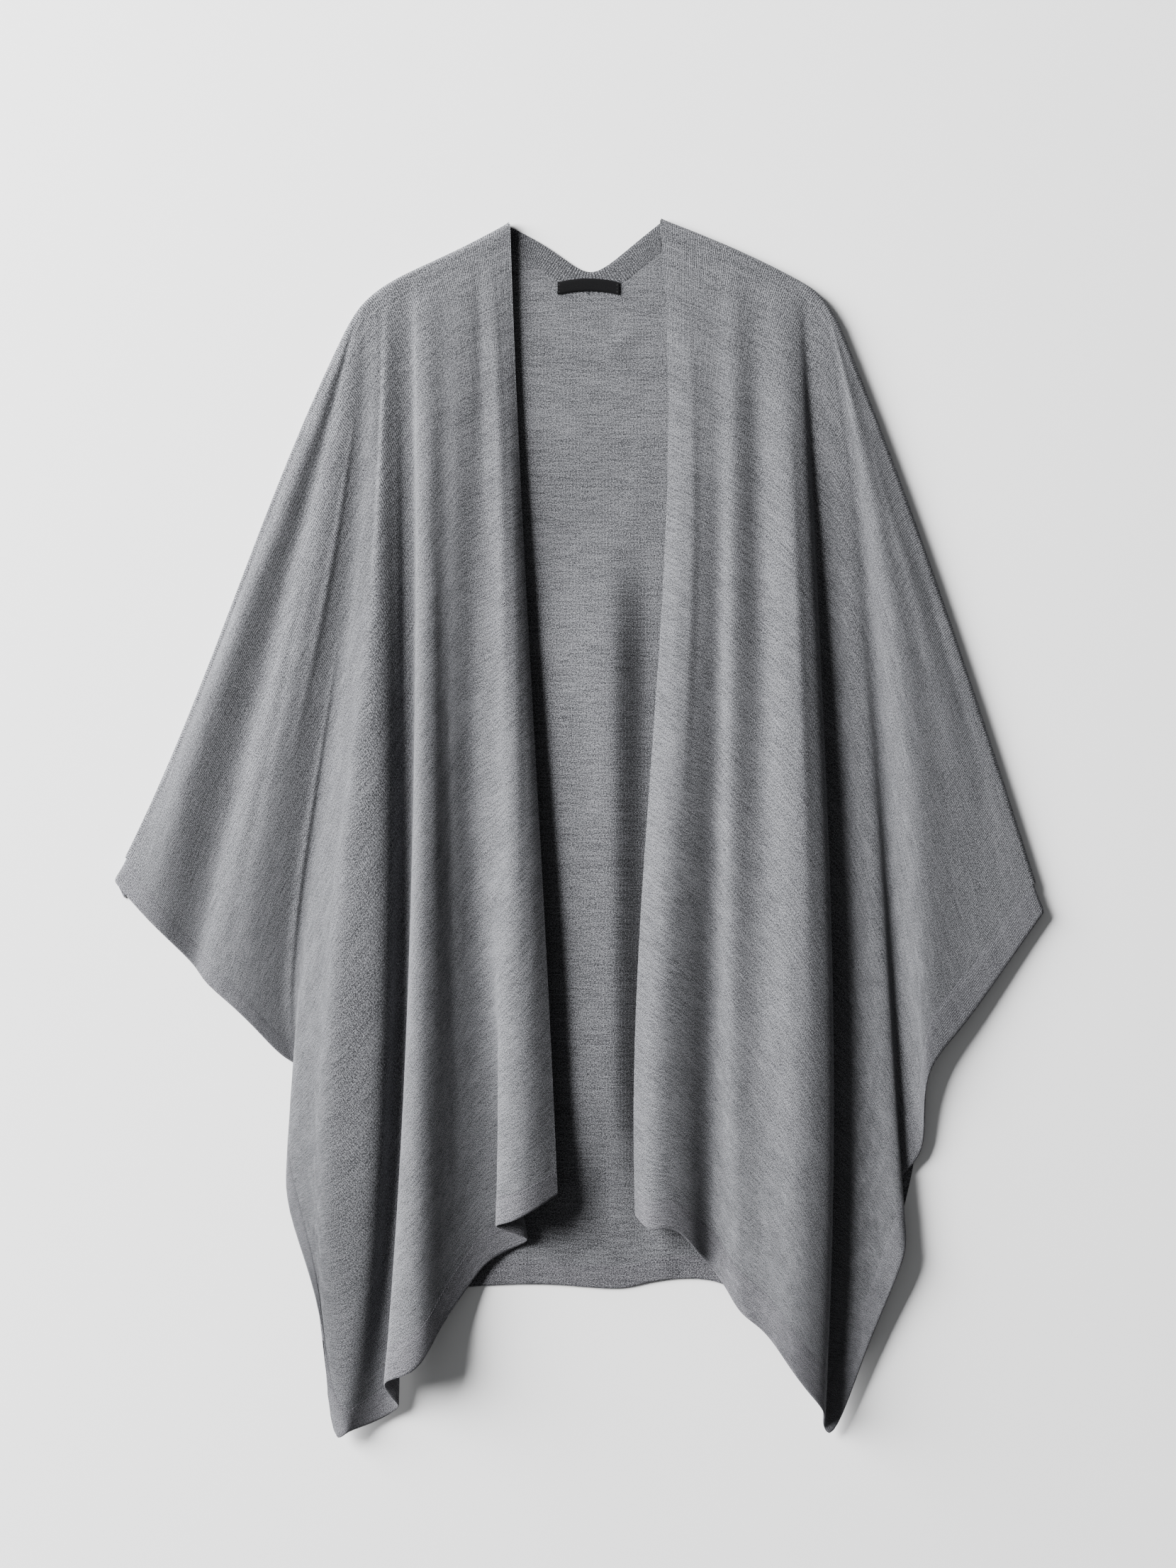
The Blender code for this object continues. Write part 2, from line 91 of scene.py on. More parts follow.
def spline_rows(points, per_gap):
    """A natural cubic spline through each row of points: between two points it is the straight line
    plus (near^3 - near) and (far^3 - far) times the bend at each, with knots spaced by the square
    root of the distance between points."""
    step = np.sqrt(np.linalg.norm(np.diff(points, axis=1), axis=2))
    rows, count = points.shape[:2]
    balance = np.zeros((rows, count, count))
    balance[:, 0, 0] = balance[:, -1, -1] = 1
    i = np.arange(1, count - 1)
    balance[:, i, i - 1] = step[:, :-1] / 6
    balance[:, i, i] = (step[:, :-1] + step[:, 1:]) / 3
    balance[:, i, i + 1] = step[:, 1:] / 6
    slope = np.diff(points, axis=1) / step[..., None]
    pull = np.zeros_like(points)
    pull[:, 1:-1] = slope[:, 1:] - slope[:, :-1]
    bend = np.linalg.solve(balance, pull)
    gap = np.repeat(np.arange(count - 1), per_gap)
    far = np.tile(np.arange(per_gap) / per_gap, count - 1)[None, :, None]
    near = 1 - far
    line = near * points[:, gap] + far * points[:, gap + 1]
    bow = (near**3 - near) * bend[:, gap] + (far**3 - far) * bend[:, gap + 1]
    line += bow * step[:, gap, None] ** 2 / 6
    return np.concatenate((line, points[:, -1:]), axis=1)


def smooth_line(table, count):
    """count points, evenly spaced along the smooth line through a table of millimetres."""
    line = spline_rows(np.array([table], float) / 1000, 24)[0]
    length = np.concatenate(([0], np.cumsum(np.linalg.norm(np.diff(line, axis=0), axis=1))))
    place = np.linspace(0, length[-1], count)
    return np.column_stack([np.interp(place, length, c) for c in line.T])


def unit(vectors):
    return vectors / np.linalg.norm(vectors, axis=-1, keepdims=True)


def square_to(grid):
    """The way square to a grid: the run of its rows crossed with the run of its columns."""
    return unit(np.cross(np.gradient(grid, axis=1), np.gradient(grid, axis=0)))


def soft_creases(x, y, creases):
    """Sum of lift times exp(-(distance across / width)^2) times the sine of the share of the
    crease's length, so each one rises and fades along its own line."""
    total = np.zeros_like(x)
    for crease in creases:
        a, b = np.array(crease.start) / 1000, np.array(crease.end) / 1000
        run = b - a
        share = np.clip(((x - a[0]) * run[0] + (y - a[1]) * run[1]) / (run @ run), 0, 1)
        away = np.hypot(x - a[0] - share * run[0], y - a[1] - share * run[1])
        swell = np.exp(-((away * 1000 / crease.width) ** 2)) * np.sin(np.pi * share) ** 0.7
        total += crease.lift / 1000 * swell
    return total


def back_lift(x, y):
    """Lift of the back above the surface: one lengthwise fold, a smooth step up and down across it,
    faded out at the neck and above the hem, with small creases of its own."""
    reach = np.where(x < BACK_FOLD["x"], BACK_FOLD["left"], BACK_FOLD["right"])
    across = np.clip(1 - np.abs(x - BACK_FOLD["x"]) / (2 * reach), 0, 1)
    across = across * across * (3 - 2 * across)
    fade = np.clip(np.minimum(BACK_FOLD["top"] - y, y - BACK_FOLD["low"]) / BACK_FOLD["fade"], 0, 1)
    creases = soft_creases(x, y, BACK_CREASES)
    fold = BACK_FOLD["height"] * across * fade * fade * (3 - 2 * fade)
    return np.maximum(fold + creases + BACK_LOFT, 0)


def cells(rows, columns):
    """Corner numbers of the four-sided cells of a grid."""
    corner = np.add.outer(np.arange(rows - 1) * columns, np.arange(columns - 1)).reshape(-1)
    return np.column_stack((corner, corner + 1, corner + columns + 1, corner + columns))


def cloth_piece(name, points, square, half, faces, weave, finish):
    """A closed wall of cloth: the surface moved half its thickness to each side along square, with a
    rim wherever a cell's edge has no neighbour. weave holds the cloth's own two lengths in metres,
    across the knit and down it, and becomes the piece's UV map."""
    count = len(points)
    shift = square * np.broadcast_to(half, count)[:, None]
    corners = np.concatenate((points + shift, points - shift))
    sides = np.concatenate([faces[:, [k, (k + 1) % 4]] for k in range(4)])
    there, back = sides @ (count, 1), sides[:, ::-1] @ (count, 1)
    rim = sides[~np.isin(there, back)]
    rim = np.column_stack((rim[:, 1], rim[:, 0], rim[:, 0] + count, rim[:, 1] + count))
    every = np.concatenate((faces, faces[:, ::-1] + count, rim))
    mesh = bpy.data.meshes.new(name)
    mesh.from_pydata(corners.tolist(), [], every.tolist())
    layer = mesh.uv_layers.new(name="weave")
    layer.data.foreach_set("uv", weave[every.reshape(-1) % count].reshape(-1))
    mesh.shade_smooth()
    mesh.set_sharp_from_angle(angle=0.9)
    mesh.materials.append(finish)
    piece = bpy.data.objects.new(name, mesh)
    bpy.context.scene.collection.objects.link(piece)
    return piece


class Signal:
    """A number or colour on its way through a finish. Sums on it add their nodes to the finish."""

    def __init__(self, finish, socket):
        self.finish = finish
        self.socket = socket

    def sum(self, operation, first, second):
        node = self.finish.node("ShaderNodeMath", {"operation": operation}, {0: first, 1: second})
        return Signal(self.finish, node.outputs[0])

    def __add__(self, other):
        return self.sum("ADD", self, other)

    def __radd__(self, other):
        return self.sum("ADD", other, self)

    def __sub__(self, other):
        return self.sum("SUBTRACT", self, other)

    def __rsub__(self, other):
        return self.sum("SUBTRACT", other, self)

    def __mul__(self, other):
        return self.sum("MULTIPLY", self, other)

    def __rmul__(self, other):
        return self.sum("MULTIPLY", other, self)

    def __truediv__(self, other):
        return self.sum("DIVIDE", self, other)

    def __rtruediv__(self, other):
        return self.sum("DIVIDE", other, self)

    def __pow__(self, other):
        return self.sum("POWER", self, other)

    def __abs__(self):
        return self.sum("ABSOLUTE", self, 0.0)

    def sine(self):
        return self.sum("SINE", self, 0.0)

    def part(self):
        """What is left of the number above its whole part."""
        return self.sum("FRACT", self, 0.0)

    def step(self, low, high):
        """0 below low, 1 above high, smooth between."""
        sockets = {0: self, 1: low, 2: high, 3: 0.0, 4: 1.0}
        node = self.finish.node("ShaderNodeMapRange", {"interpolation_type": "SMOOTHSTEP"}, sockets)
        return Signal(self.finish, node.outputs[0])


class Grain(NamedTuple):
    """A noise of the yarn: how many spots to a metre across the knit and down it, its seed, and how
    many finer noises it holds."""

    across: float
    down: float
    seed: float
    detail: float = 2.0


class Finish:
    """A material while it is made."""

    def __init__(self, name):
        self.material = bpy.data.materials.new(name)
        self.material.use_nodes = True
        self.tree = self.material.node_tree
        self.shader = self.tree.nodes["Principled BSDF"]

    def node(self, kind, settings, sockets):
        node = self.tree.nodes.new(kind)
        for setting, value in settings.items():
            setattr(node, setting, value)
        for socket, value in sockets.items():
            self.feed(node.inputs[socket], value)
        return node

    def feed(self, socket, value):
        if isinstance(value, Signal):
            self.tree.links.new(value.socket, socket)
        else:
            socket.default_value = value

    def weave(self):
        """The cloth's two lengths in metres: across the knit and down it."""
        chart = self.node("ShaderNodeUVMap", {"uv_map": "weave"}, {})
        parts = self.node("ShaderNodeSeparateXYZ", {}, {0: Signal(self, chart.outputs[0])})
        return Signal(self, parts.outputs[0]), Signal(self, parts.outputs[1])

    def mottle(self, across, down, grain):
        """Noise from 0 to 1 over the cloth's two lengths, at the scale of a grain."""
        sockets = {0: across * grain.across, 1: down * grain.down, 2: grain.seed}
        place = self.node("ShaderNodeCombineXYZ", {}, sockets)
        sockets = {"Vector": Signal(self, place.outputs[0]), "Scale": 1.0, "Detail": grain.detail}
        noise = self.node("ShaderNodeTexNoise", {"noise_dimensions": "3D"}, sockets)
        return Signal(self, noise.outputs[0])

    def blend(self, share, first, second):
        """One colour below the other, by a share from 0 to 1."""
        sockets = {0: share, 6: first, 7: second}
        mix = self.node("ShaderNodeMix", {"data_type": "RGBA", "clamp_factor": True}, sockets)
        return Signal(self, mix.outputs[2])

    def relief(self, height, distance, strength=1.0):
        sockets = {"Height": height, "Distance": distance, "Strength": strength}
        bump = self.node("ShaderNodeBump", {}, sockets)
        self.feed(self.shader.inputs["Normal"], Signal(self, bump.outputs[0]))


FULL_TURN = 6.2832
WALE = 0.0012
COURSE = 0.0010
TAUT_WALE = 0.0015
WANDER = Grain(260.0, 260.0, 41.0)
WORN = Grain(55.0, 55.0, 53.0)
FLECK = Grain(900.0, 1050.0, 3.0, 3.0)
DRIFT = Grain(42.0, 620.0, 7.0, 3.0)
THREAD = Grain(120.0, 1100.0, 11.0)
CLOUD = Grain(12.0, 40.0, 19.0)
SPARK = Grain(1350.0, 1350.0, 29.0, 1.0)


def heather_knit(
    name, dark, light, streak=1.0, wale=WALE, course=COURSE, rib=0.0, rib_pitch=WALE, wale_light_and_shade=0.0
):
    """Grey marled jersey. Across each wale the height is 1 - side^2, with side from 0 at its middle
    to 1 at its edge, and down it a sine leans with side, which makes the stitches' V. The colour goes
    from dark to light fibre with fine noise, and thin streaks of darker yarn run along the courses.
    The colour is also made lighter where the height is high and darker where it is low: painted
    light on the stitches' tops and painted shade in the gaps between them. drawn is how strongly the
    wales are painted as light and dark lines where the cloth is pulled taut over its turned edge:
    painted light and shade of the stretched stitches. rib darkens the grooves between the ribs with
    painted shade."""
    cloth = Finish(name)
    across, down = cloth.weave()
    wander = cloth.mottle(across, down, WANDER)
    side = abs(((across + wander * 0.0009) / wale).part() - 0.5) * 2.0
    stitch = (((down + wander * 0.0007) / course + side * 0.5) * FULL_TURN).sine() * 0.5 + 0.5
    worn = cloth.mottle(across, down, WORN)
    height = ((1.0 - side**2.0) * (0.55 + 0.45 * stitch) - 0.47) * worn.step(0.32, 0.60)
    fleck = cloth.mottle(across, down, FLECK)
    drift = cloth.mottle(across, down, DRIFT)
    thread = cloth.mottle(across, down, THREAD)
    cloudy = cloth.mottle(across, down, CLOUD)
    spark = cloth.mottle(across, down, SPARK)
    # The height term paints the stitches' tops lighter and the gaps between them darker: painted light and
    # shade of the knit's relief.
    shade = 0.20 + (fleck - 0.5) * 1.95 + (cloudy - 0.5) * 0.25 + height * 0.26
    shade = shade - (drift - 0.5) * 0.75 * streak - (thread - 0.5) * 0.35 * streak
    shade = shade + spark.step(0.54, 0.70) * 1.15
    if wale_light_and_shade:
        # Painted light and shade: near the turned edge the wales are painted as light and dark lines, the
        # light and shade of stitches stretched taut over the edge.
        taut = (1.0 - down.step(0.02, 0.24)) * (0.45 + 0.55 * cloudy.step(0.35, 0.65))
        shade = shade + (across * (FULL_TURN / TAUT_WALE)).sine() * taut * wale_light_and_shade
    if rib:
        ridge = ((across / rib_pitch) * FULL_TURN).sine() * 0.5 + 0.5
        height = height * 0.35 + ridge * rib
        # Painted shade: the grooves between the ribs are darkened.
        shade = shade - (1.0 - ridge) * 0.30
    cloth.feed(cloth.shader.inputs["Base Color"], cloth.blend(shade, dark, light))
    cloth.relief(height + (fleck - 0.5) * 0.7, 0.00024, 0.8)
    cloth.shader.inputs["Roughness"].default_value = 0.93
    cloth.shader.inputs["Specular IOR Level"].default_value = 0.22
    cloth.shader.inputs["Sheen Weight"].default_value = 0.12
    cloth.shader.inputs["Sheen Roughness"].default_value = 0.55
    cloth.shader.inputs["Sheen Tint"].default_value = (0.86, 0.88, 0.93, 1.0)
    return cloth.material


def patch(neck, hem, left, right):
    """A sheet between four edges, a Coons patch: the two blends between facing edges, less the blend
    of the four corners."""
    t = np.linspace(0, 1, len(left))[:, None, None]
    s = np.linspace(0, 1, len(neck))[None, :, None]
    corners = (1 - t) * ((1 - s) * neck[0] + s * neck[-1]) + t * ((1 - s) * hem[0] + s * hem[-1])
    return (1 - t) * neck + t * hem + (1 - s) * left[:, None] + s * right[:, None] - corners


def laid(flat, half):
    """Flat points laid on the surface at the cloth's own lift."""
    height = half + back_lift(flat[..., 0], flat[..., 1])
    return np.concatenate((flat, height[..., None]), axis=-1)


def neck_lines(columns):
    """The neck's edge, and the way down to the seam below its band: square to the edge in the middle
    and straight down at the ends, which lie under the fronts."""
    edge = smooth_line(NECK_CURVE, columns)
    run = np.gradient(edge, axis=0)
    square = unit(np.column_stack((run[:, 1], -run[:, 0])))
    shares = np.linspace(0, 1, columns)
    share = np.clip(np.minimum(shares, 1 - shares) / 0.25, 0, 1)[:, None]
    down = unit(share * square + (1 - share) * np.array((0.0, -1.0)))
    return edge, down * (HEM_DEPTH / np.sum(down * square, axis=1))[:, None]


DARK_FIBRE = (0.013, 0.0135, 0.0155, 1.0)
LIGHT_FIBRE = (0.200, 0.202, 0.216, 1.0)
COLUMNS = 200
ROWS = 210
KNIT_TOP = 0.50
jersey = heather_knit("heather_jersey", DARK_FIBRE, LIGHT_FIBRE)
neck_edge, neck_drop = neck_lines(COLUMNS)
hem_edge = smooth_line(BACK_HEM, COLUMNS)
hem_seam = hem_edge + (0.0, HEM_DEPTH)
neck_seam = neck_edge + neck_drop * 1.016
flat = patch(neck_seam, hem_seam, smooth_line(BACK_LEFT, ROWS), smooth_line(BACK_RIGHT, ROWS))
grid = laid(flat[::-1], CLOTH / 2)
weave = np.stack((grid[..., 0], KNIT_TOP - grid[..., 1]), axis=-1).reshape(-1, 2)
square = square_to(grid).reshape(-1, 3)
faces = cells(ROWS, COLUMNS)
back_cloth = cloth_piece("back_cloth", grid.reshape(-1, 3), square, CLOTH / 2, faces, weave, jersey)
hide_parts("back_panel")
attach(back_cloth, "root")

# The neck band: a strip of narrow rib along the back of the neck, knitted on and steamed flat. Its
# ribs run square to the edge.
RIB_ROWS = 14
RIB_PITCH = 0.0021
RIB_SWELL = 0.00012
neck_rib = heather_knit("neck_rib", DARK_FIBRE, LIGHT_FIBRE, streak=0.35, rib=0.9, rib_pitch=RIB_PITCH)
down_band = np.linspace(0, 1, RIB_ROWS)[::-1]
flat = neck_edge + neck_drop * down_band[:, None, None]
round_off = np.clip(down_band * 12, 0, 1) ** 0.5
half = (CLOTH / 2 + RIB_SWELL * np.sin(np.pi * down_band) ** 0.5) * np.maximum(round_off, 0.3)
grid = laid(flat, half.max())
run = np.concatenate(([0], np.cumsum(np.linalg.norm(np.diff(neck_edge, axis=0), axis=1))))
weave = np.stack(np.broadcast_arrays(run[None, :], down_band[:, None] * HEM_DEPTH), axis=-1).reshape(-1, 2)
square = square_to(grid).reshape(-1, 3)
half = np.repeat(half, COLUMNS)
faces = cells(RIB_ROWS, COLUMNS)
neck_band_cloth = cloth_piece("neck_band_cloth", grid.reshape(-1, 3), square, half, faces, weave, neck_rib)
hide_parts("neck_band")
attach(neck_band_cloth, "root")

# The back hem: the edge turned up once and caught down, so it is two layers thick and ends in a soft
# rounded fold. The dye takes a little warmer there.
BAND_ROWS = 16
WARM_DARK = (0.013, 0.013, 0.0155, 1.0)
WARM_LIGHT = (0.190, 0.188, 0.204, 1.0)
hem_jersey = heather_knit("hem_jersey", WARM_DARK, WARM_LIGHT, streak=0.9)


def band_half(share):
    """Half the thickness of a doubled hem: the cloth's own at the seam, full within a fifth of its
    depth, and round at the fold, by the square root of the distance from it."""
    full = CLOTH * (0.50 + 0.22 * np.clip(share / 0.2, 0, 1))
    return full * np.clip(np.sqrt(np.clip((1 - share) / 0.06, 0, 1)), 0.25, 1)


BAND_SHARES = np.concatenate((np.linspace(0, 0.93, BAND_ROWS - 4), (0.96, 0.98, 0.993, 1.0)))
flat = hem_seam + (hem_edge - hem_seam) * BAND_SHARES[:, None, None] - (0.0, SEAM_GAP)
grid = laid(flat[::-1], CLOTH * 0.6)
half = np.repeat(band_half(BAND_SHARES[::-1]), COLUMNS)
weave = np.stack((grid[..., 0], KNIT_TOP - grid[..., 1]), axis=-1).reshape(-1, 2)
square = square_to(grid).reshape(-1, 3)
faces = cells(BAND_ROWS, COLUMNS)
back_hem_cloth = cloth_piece("back_hem_cloth", grid.reshape(-1, 3), square, half, faces, weave, hem_jersey)
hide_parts("back_hem")
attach(back_hem_cloth, "root")

# The left front: the same cloth carried over the shoulder and the arm, draped in folds that fan out
# from the shoulder. It turns under along the shoulder and the arm in a small round fold.
FOLD_TOP = 0.0075
FOLD_UNDER = 0.006
NECK_BLEND = 0.050
EDGE_BACK = 0.0026
EDGE_BACK_REACH = 0.004
TURN_STEPS = 8
PER_GAP = 7
FRONT_ROWS = 150
HEM_SLANT = 0.60
SIDE_SLANT = 0.40
CUT_WIDE = 0.55
CUT_LONG = 0.74
SETTLE_ROUNDS = 1500


class Fold(NamedTuple):
    """One line down a front: where it starts along the shoulder, then three points in millimetres."""

    name: str
    start: float
    upper: tuple
    lower: tuple
    hem: tuple


class Ripple(NamedTuple):
    """A soft ridge or trough on a front, in its own terms: it runs from one fold's place, counted
    from the front edge, to another, between two shares of the length. Lift is in millimetres."""

    fold: float
    share: float
    to_fold: float
    to_share: float
    width: float
    lift: float


LEFT_SHOULDER = ((-57, 498.5), (-93, 479), (-128, 462.5), (-158, 447), (-178, 430), (-190, 411))
LEFT_FOLDS = (
    Fold("front_edge", 0.000, (-46, 233, 8.5), (-31, -35, 18), (-18, -302, 21)),
    Fold("front_crest", 0.090, (-53, 230, 13.5), (-45, -40, 26), (-42, -317, 29)),
    Fold("front_brow", 0.140, (-64, 226, 14.6), (-57, -45, 25), (-60, -325, 26)),
    Fold("front_lip", 0.180, (-74, 222, 12), (-67, -50, 19.4), (-68, -329, 18)),
    Fold("front_turn", 0.205, (-80, 220, 11), (-73, -53, 15.4), (-49, -337, 12.5)),
    Fold("front_tuck", 0.222, (-85, 219, 11), (-78, -56, 12.6), (-43, -341, 8.5)),
    Fold("front_under", 0.240, (-89.5, 216, 11.5), (-84, -60, 11), (-50, -346, 5.2)),
    Fold("hollow_near", 0.275, (-96, 213, 12.6), (-91, -67, 11.6), (-74, -359, 6.2)),
    Fold("hollow_far", 0.320, (-104, 203, 14.6), (-101, -82, 15.2), (-92, -380, 9.8)),
    Fold("middle_slope", 0.390, (-114, 185, 17.8), (-114, -108, 22), (-115, -414, 21.5)),
    Fold("middle_crest", 0.470, (-126, 168, 22.5), (-131, -132, 29), (-138, -447, 31)),
    Fold("middle_lip", 0.530, (-134, 152, 18.5), (-141, -152, 21.5), (-160, -458, 21)),
    Fold("middle_turn", 0.555, (-134.5, 146, 13), (-141, -158, 14), (-154, -472, 13)),
    Fold("middle_tuck", 0.580, (-136, 140, 8.0), (-142, -164, 7.6), (-150, -479, 8.5)),
    Fold("middle_under", 0.605, (-141, 135, 7), (-146, -169, 5.8), (-156, -485, 5.5)),
    Fold("crease_floor", 0.630, (-148, 130, 9), (-153, -175, 7.6), (-172, -493, 6)),
    Fold("outer_brow", 0.665, (-157, 127, 16.5), (-160, -184, 18.5), (-187, -498, 11)),
    Fold("outer_crest", 0.705, (-170, 122, 20.5), (-181, -192, 24), (-193, -501, 13)),
    Fold("corner", 0.740, (-178, 121, 19.5), (-202, -200, 25), (-200, -504, 10)),
    Fold("outer_side", 0.768, (-182, 135, 16.5), (-212, -150, 20), (-214, -405, 17)),
    Fold("outer_lip", 0.790, (-187, 155, 12.8), (-220, -100, 13.2), (-241, -306, 13.8)),
    Fold("outer_turn", 0.812, (-190.5, 165, 10.8), (-224, -75, 9.2), (-235, -257, 10.2)),
    Fold("outer_tuck", 0.832, (-194, 172, 10), (-227, -58, 7.8), (-226, -212, 8.3)),
    Fold("outer_under", 0.848, (-198, 180, 10.2), (-232, -48, 8.2), (-231, -199, 5.6)),
    Fold("arm_hollow", 0.865, (-204, 188, 11.6), (-241, -36, 10.8), (-245, -189, 8)),
    Fold("arm_slope", 0.885, (-212, 198, 13.8), (-252, -15, 14.4), (-264, -170, 12)),
    Fold("arm_crest", 0.910, (-221, 208, 14.6), (-263, 8, 16), (-288, -146, 15)),
    Fold("arm_lip", 0.935, (-229, 218, 12), (-275, 26, 12.6), (-309, -127, 12)),
    Fold("arm_tuck", 0.955, (-237, 229, 8), (-286, 43, 7.4), (-319, -114, 7.6)),
    Fold("sleeve_crest", 0.978, (-250, 247, 12.5), (-311, 76, 15), (-350, -82, 15)),
    Fold("arm_fold", 1.000, (-256, 258, 7.5), (-315, 105, 7.5), (-383.5, -46, 7)),
)
LEFT_RIPPLES = (
    Ripple(1.6, 0.05, 2.2, 0.55, 0.35, 0.9),
    Ripple(0.7, 0.30, 1.1, 0.90, 0.40, -0.8),
    Ripple(2.0, 0.45, 2.1, 0.98, 0.45, 0.7),
    Ripple(7.6, 0.08, 7.4, 0.55, 1.20, 0.9),
    Ripple(8.5, 0.35, 8.2, 0.95, 0.35, -0.9),
    Ripple(9.5, 0.25, 9.2, 0.80, 0.30, 0.8),
    Ripple(15.4, 0.10, 15.0, 0.60, 0.35, 0.9),
    Ripple(22.6, 0.35, 23.2, 0.98, 0.35, 1.1),
    Ripple(26.4, 0.30, 26.2, 0.95, 0.25, -0.8),
    Ripple(24.5, 0.12, 24.9, 0.55, 0.30, 0.9),
)


def fold_stations(shoulder, folds):
    """The four points of each fold: on the shoulder line, upper, lower and hem, in metres."""
    line = smooth_line(shoulder, 400)
    place = np.array([fold.start for fold in folds]) * 399
    starts = np.column_stack([np.interp(place, np.arange(400), c) for c in line.T])
    top = np.column_stack((starts, np.full(len(folds), FOLD_TOP)))
    rest = np.array([(fold.upper, fold.lower, fold.hem) for fold in folds], float) / 1000
    return np.concatenate((top[:, None], rest), axis=1)


def down_fold(stations, share):
    """The cubic through four evenly spaced stations, by Lagrange's weights at each share from the
    shoulder, 0, to the hem, 1."""
    v = np.asarray(share, float)[..., None]
    third, two_thirds = v - 1 / 3, v - 2 / 3
    return (
        -4.5 * third * two_thirds * (v - 1) * stations[:, 0]
        + 13.5 * v * two_thirds * (v - 1) * stations[:, 1]
        - 13.5 * v * third * (v - 1) * stations[:, 2]
        + 4.5 * v * third * two_thirds * stations[:, 3]
    )


def band_reach(ends, fall, least_slant):
    """How far a band reaches up each fold: its depth over the sine of the angle at which the fold
    meets the edge, evened out along the edge."""
    slant = np.linalg.norm(np.cross(unit(np.gradient(ends, axis=0)), unit(fall)), axis=1)
    reach = HEM_DEPTH / np.clip(slant, least_slant, 1)
    for _ in range(3):
        spread = np.pad(reach, 1, mode="edge")
        reach = (spread[:-2] + spread[1:-1] + spread[2:]) / 3
    return reach


def run_along(points):
    """Length down each column of points, from its first point."""
    step = np.linalg.norm(np.diff(points, axis=0), axis=-1)
    return np.concatenate((np.zeros_like(step[:1]), np.cumsum(step, axis=0)))


def front_surface(shoulder, folds, ripples, side):
    """All of one front: a smooth strip across the folds at each share of their length, first the
    panel's rows and then the band's, with ripples pushed out along the surface. Gives the grid, the
    way square to it, its weave and the band's first row."""
    stations = fold_stations(shoulder, folds)
    corner = [fold.name for fold in folds].index("corner")
    ends = stations[:, 3]
    count = len(folds)
    fall = ends - down_fold(stations, np.full(count, 0.95))
    hem_reach = band_reach(ends[:corner], fall[:corner], HEM_SLANT)
    side_reach = band_reach(ends[corner:], fall[corner:], SIDE_SLANT)
    reach = np.concatenate((hem_reach, side_reach))
    samples = np.array([down_fold(stations, np.full(count, v)) for v in np.linspace(0, 1, 40)])
    seam = 1 - reach / run_along(samples)[-1]
    shares = np.concatenate((
        seam * np.linspace(0, 1, FRONT_ROWS)[:, None],
        seam + (1 - seam) * BAND_SHARES[1:, None],
    ))
    folds_at = np.array([down_fold(stations, row) for row in shares])
    grid = spline_rows(folds_at, PER_GAP)
    place = np.arange(grid.shape[1]) / PER_GAP
    share = np.array([np.interp(place, np.arange(count), row) for row in shares])
    square = square_to(grid)
    total = np.zeros(grid.shape[:2])
    for ripple in ripples:
        along = np.clip((share - ripple.share) / (ripple.to_share - ripple.share), 0, 1)
        middle = ripple.fold + (ripple.to_fold - ripple.fold) * along
        swell = np.exp(-(((place - middle) / ripple.width) ** 2)) * np.sin(np.pi * along) ** 0.8
        total += ripple.lift / 1000 * swell
    grid = grid - side * square * (total * np.clip(-side * square[..., 2], 0, 1))[..., None]
    square = square_to(grid)
    at_corner = corner * PER_GAP
    return grid, square, even_weave(grid, at_corner), FRONT_ROWS - 1, at_corner


def even_weave(grid, corner):
    """The cloth's two lengths over a front. Its four edges are set out as on the flat knit, in
    proportion to how far they run: the turned edge across, the hem parallel to it, the front edge and
    the side square to them. Inside, each point settles to the mean of its neighbours, which count for
    more the nearer they lie, over many rounds."""
    rows, columns = grid.shape[:2]
    front, hem = run_along(grid[:, 0]), run_along(grid[-1])
    fold = np.concatenate((run_along(grid[0]), run_along(grid[0])[-1] + run_along(grid[:, -1])[1:]))
    weave = np.zeros((rows, columns, 2))
    share = np.linspace(0, 1, rows)[:, None, None]
    weave[0, :, 0] = fold[:columns] / fold[-1] * CUT_WIDE
    end = np.zeros((columns, 2))
    end[:, 0] = np.minimum(hem / hem[corner], 1) * CUT_WIDE
    end[:, 1] = CUT_LONG * (1 - np.clip((hem - hem[corner]) / (hem[-1] - hem[corner]), 0, 1))
    weave[:] = (1 - share) * weave[:1] + share * end
    weave[:, -1, 0] = fold[columns - 1 :] / fold[-1] * CUT_WIDE
    weave[:, 0, 1] = front / front[-1] * CUT_LONG
    over = 1 / np.linalg.norm(np.diff(grid, axis=1), axis=2)[..., None]
    under = 1 / np.linalg.norm(np.diff(grid, axis=0), axis=2)[..., None]
    left, right, above, below = over[1:-1, :-1], over[1:-1, 1:], under[:-1, 1:-1], under[1:, 1:-1]
    total = left + right + above + below
    for _ in range(SETTLE_ROUNDS):
        pull = left * weave[1:-1, :-2] + right * weave[1:-1, 2:]
        pull += above * weave[:-2, 1:-1]
        pull += below * weave[2:, 1:-1]
        weave[1:-1, 1:-1] = pull / total
    return weave


